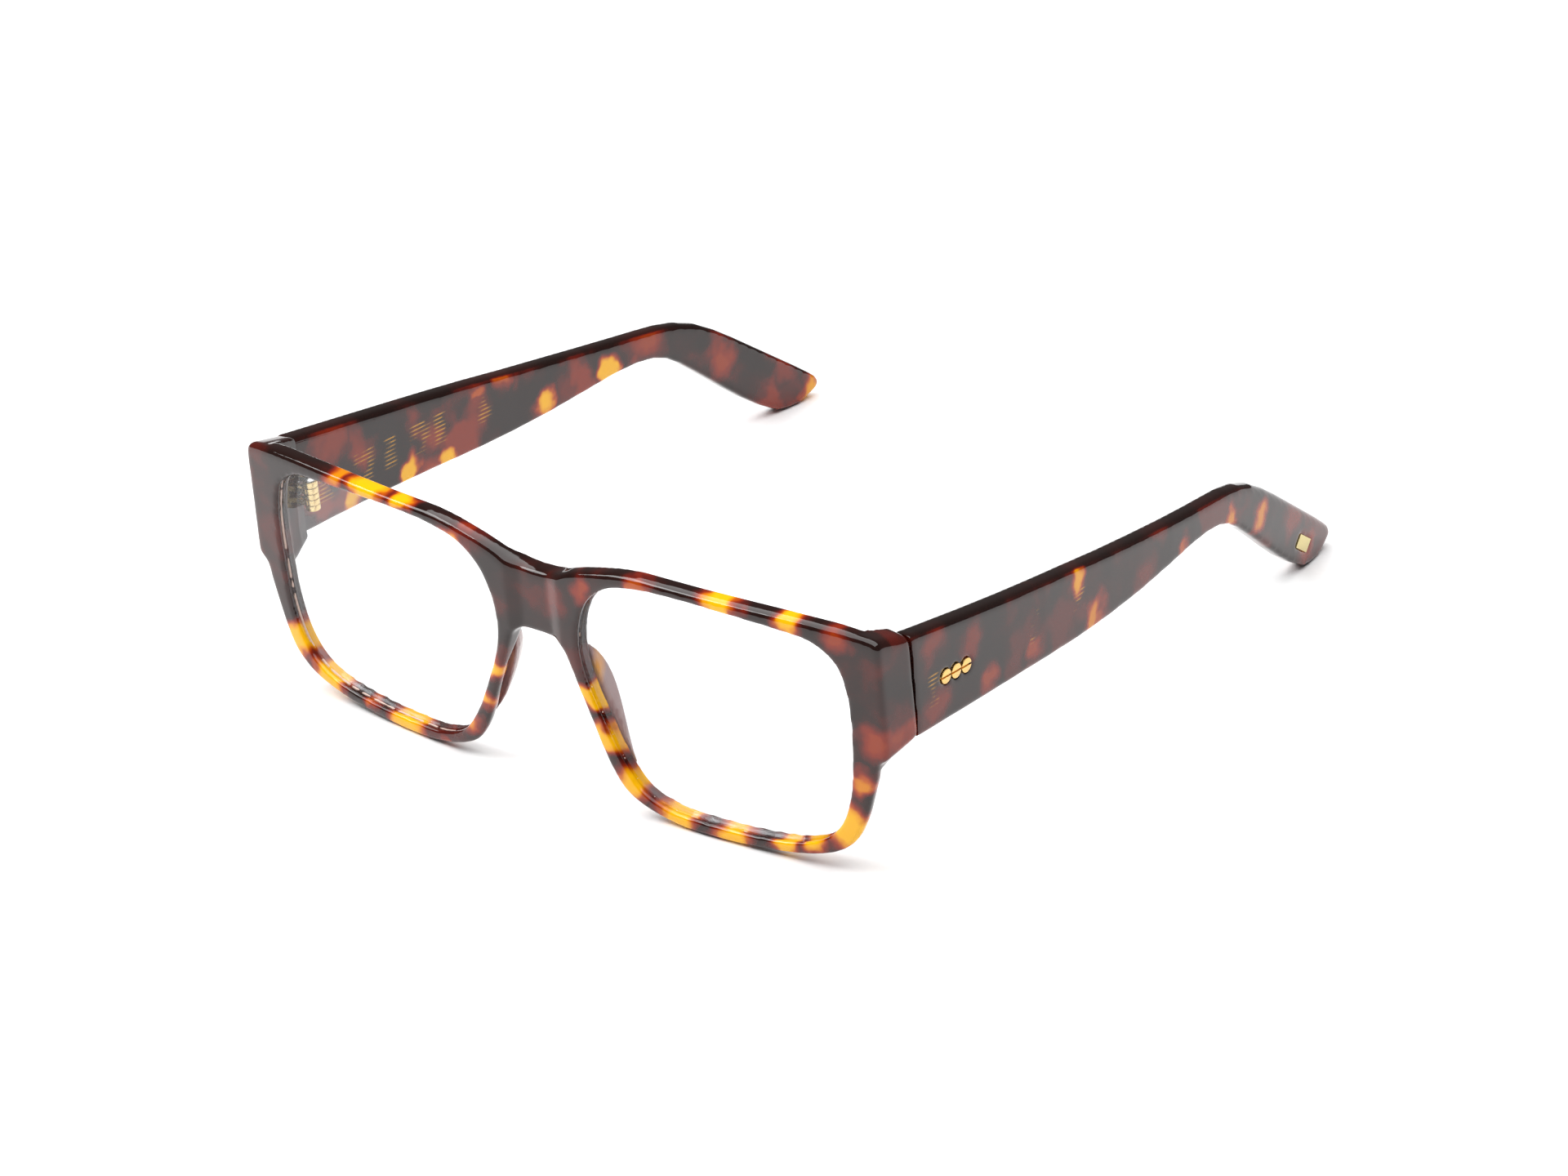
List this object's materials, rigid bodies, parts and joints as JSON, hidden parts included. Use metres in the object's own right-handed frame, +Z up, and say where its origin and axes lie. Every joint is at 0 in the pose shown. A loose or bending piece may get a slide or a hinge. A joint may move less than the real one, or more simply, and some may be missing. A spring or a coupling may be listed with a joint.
{
  "type": "eyeglasses frame",
  "caption": "Full-rim acetate eyeglasses with clear lenses, nose pads on the rims, and folding core-wire temples on barrel hinges.",
  "frame": {"origin": "on the table, midway between the lenses, level with the frontmost face of the bridge region", "axes": "+Z up, the front faces -Y, the wearer's left is +X, the open temples run towards +Y"},
  "size_m": [0.1368, 0.1498, 0.0462],
  "materials": {
    "tortoise_acetate": "polished",
    "clear_acetate": "polished",
    "clear_lens": "polished",
    "gilt_hinge": "satin",
    "gilt_wire": "satin",
    "steel_screw": "satin",
    "gilt_rivet": "polished",
    "gilt_plaque": "satin"
  },
  "bodies": {
    "front": {"front_frame": "tortoise_acetate", "lens_left": "clear_lens", "lens_right": "clear_lens", "nose_pad_left": "clear_acetate", "nose_pad_right": "clear_acetate", "front_hinge_left": "gilt_hinge", "front_hinge_right": "gilt_hinge"},
    "left_temple": {"temple_left": "tortoise_acetate", "core_wire_left": "gilt_wire", "temple_hinge_left": "gilt_hinge", "hinge_screw_left": "steel_screw", "temple_rivet_left_1": "gilt_rivet", "temple_rivet_left_2": "gilt_rivet", "temple_rivet_left_3": "gilt_rivet", "tip_plaque_left": "gilt_plaque"},
    "right_temple": {"temple_right": "tortoise_acetate", "core_wire_right": "gilt_wire", "temple_hinge_right": "gilt_hinge", "hinge_screw_right": "steel_screw", "temple_rivet_right_1": "gilt_rivet", "temple_rivet_right_2": "gilt_rivet", "temple_rivet_right_3": "gilt_rivet", "tip_plaque_right": "gilt_plaque"}
  },
  "joints": [
    {"name": "left_hinge", "type": "hinge", "parent": "front", "child": "left_temple", "pos_m": [0.0615, 0.01351, 0.03026], "axis": [0, -0.0581, 0.9983], "range_deg": [0, 89]},
    {"name": "right_hinge", "type": "hinge", "parent": "front", "child": "right_temple", "pos_m": [-0.0615, 0.01351, 0.03026], "axis": [0, 0.0581, -0.9983], "range_deg": [0, 82]}
  ]
}
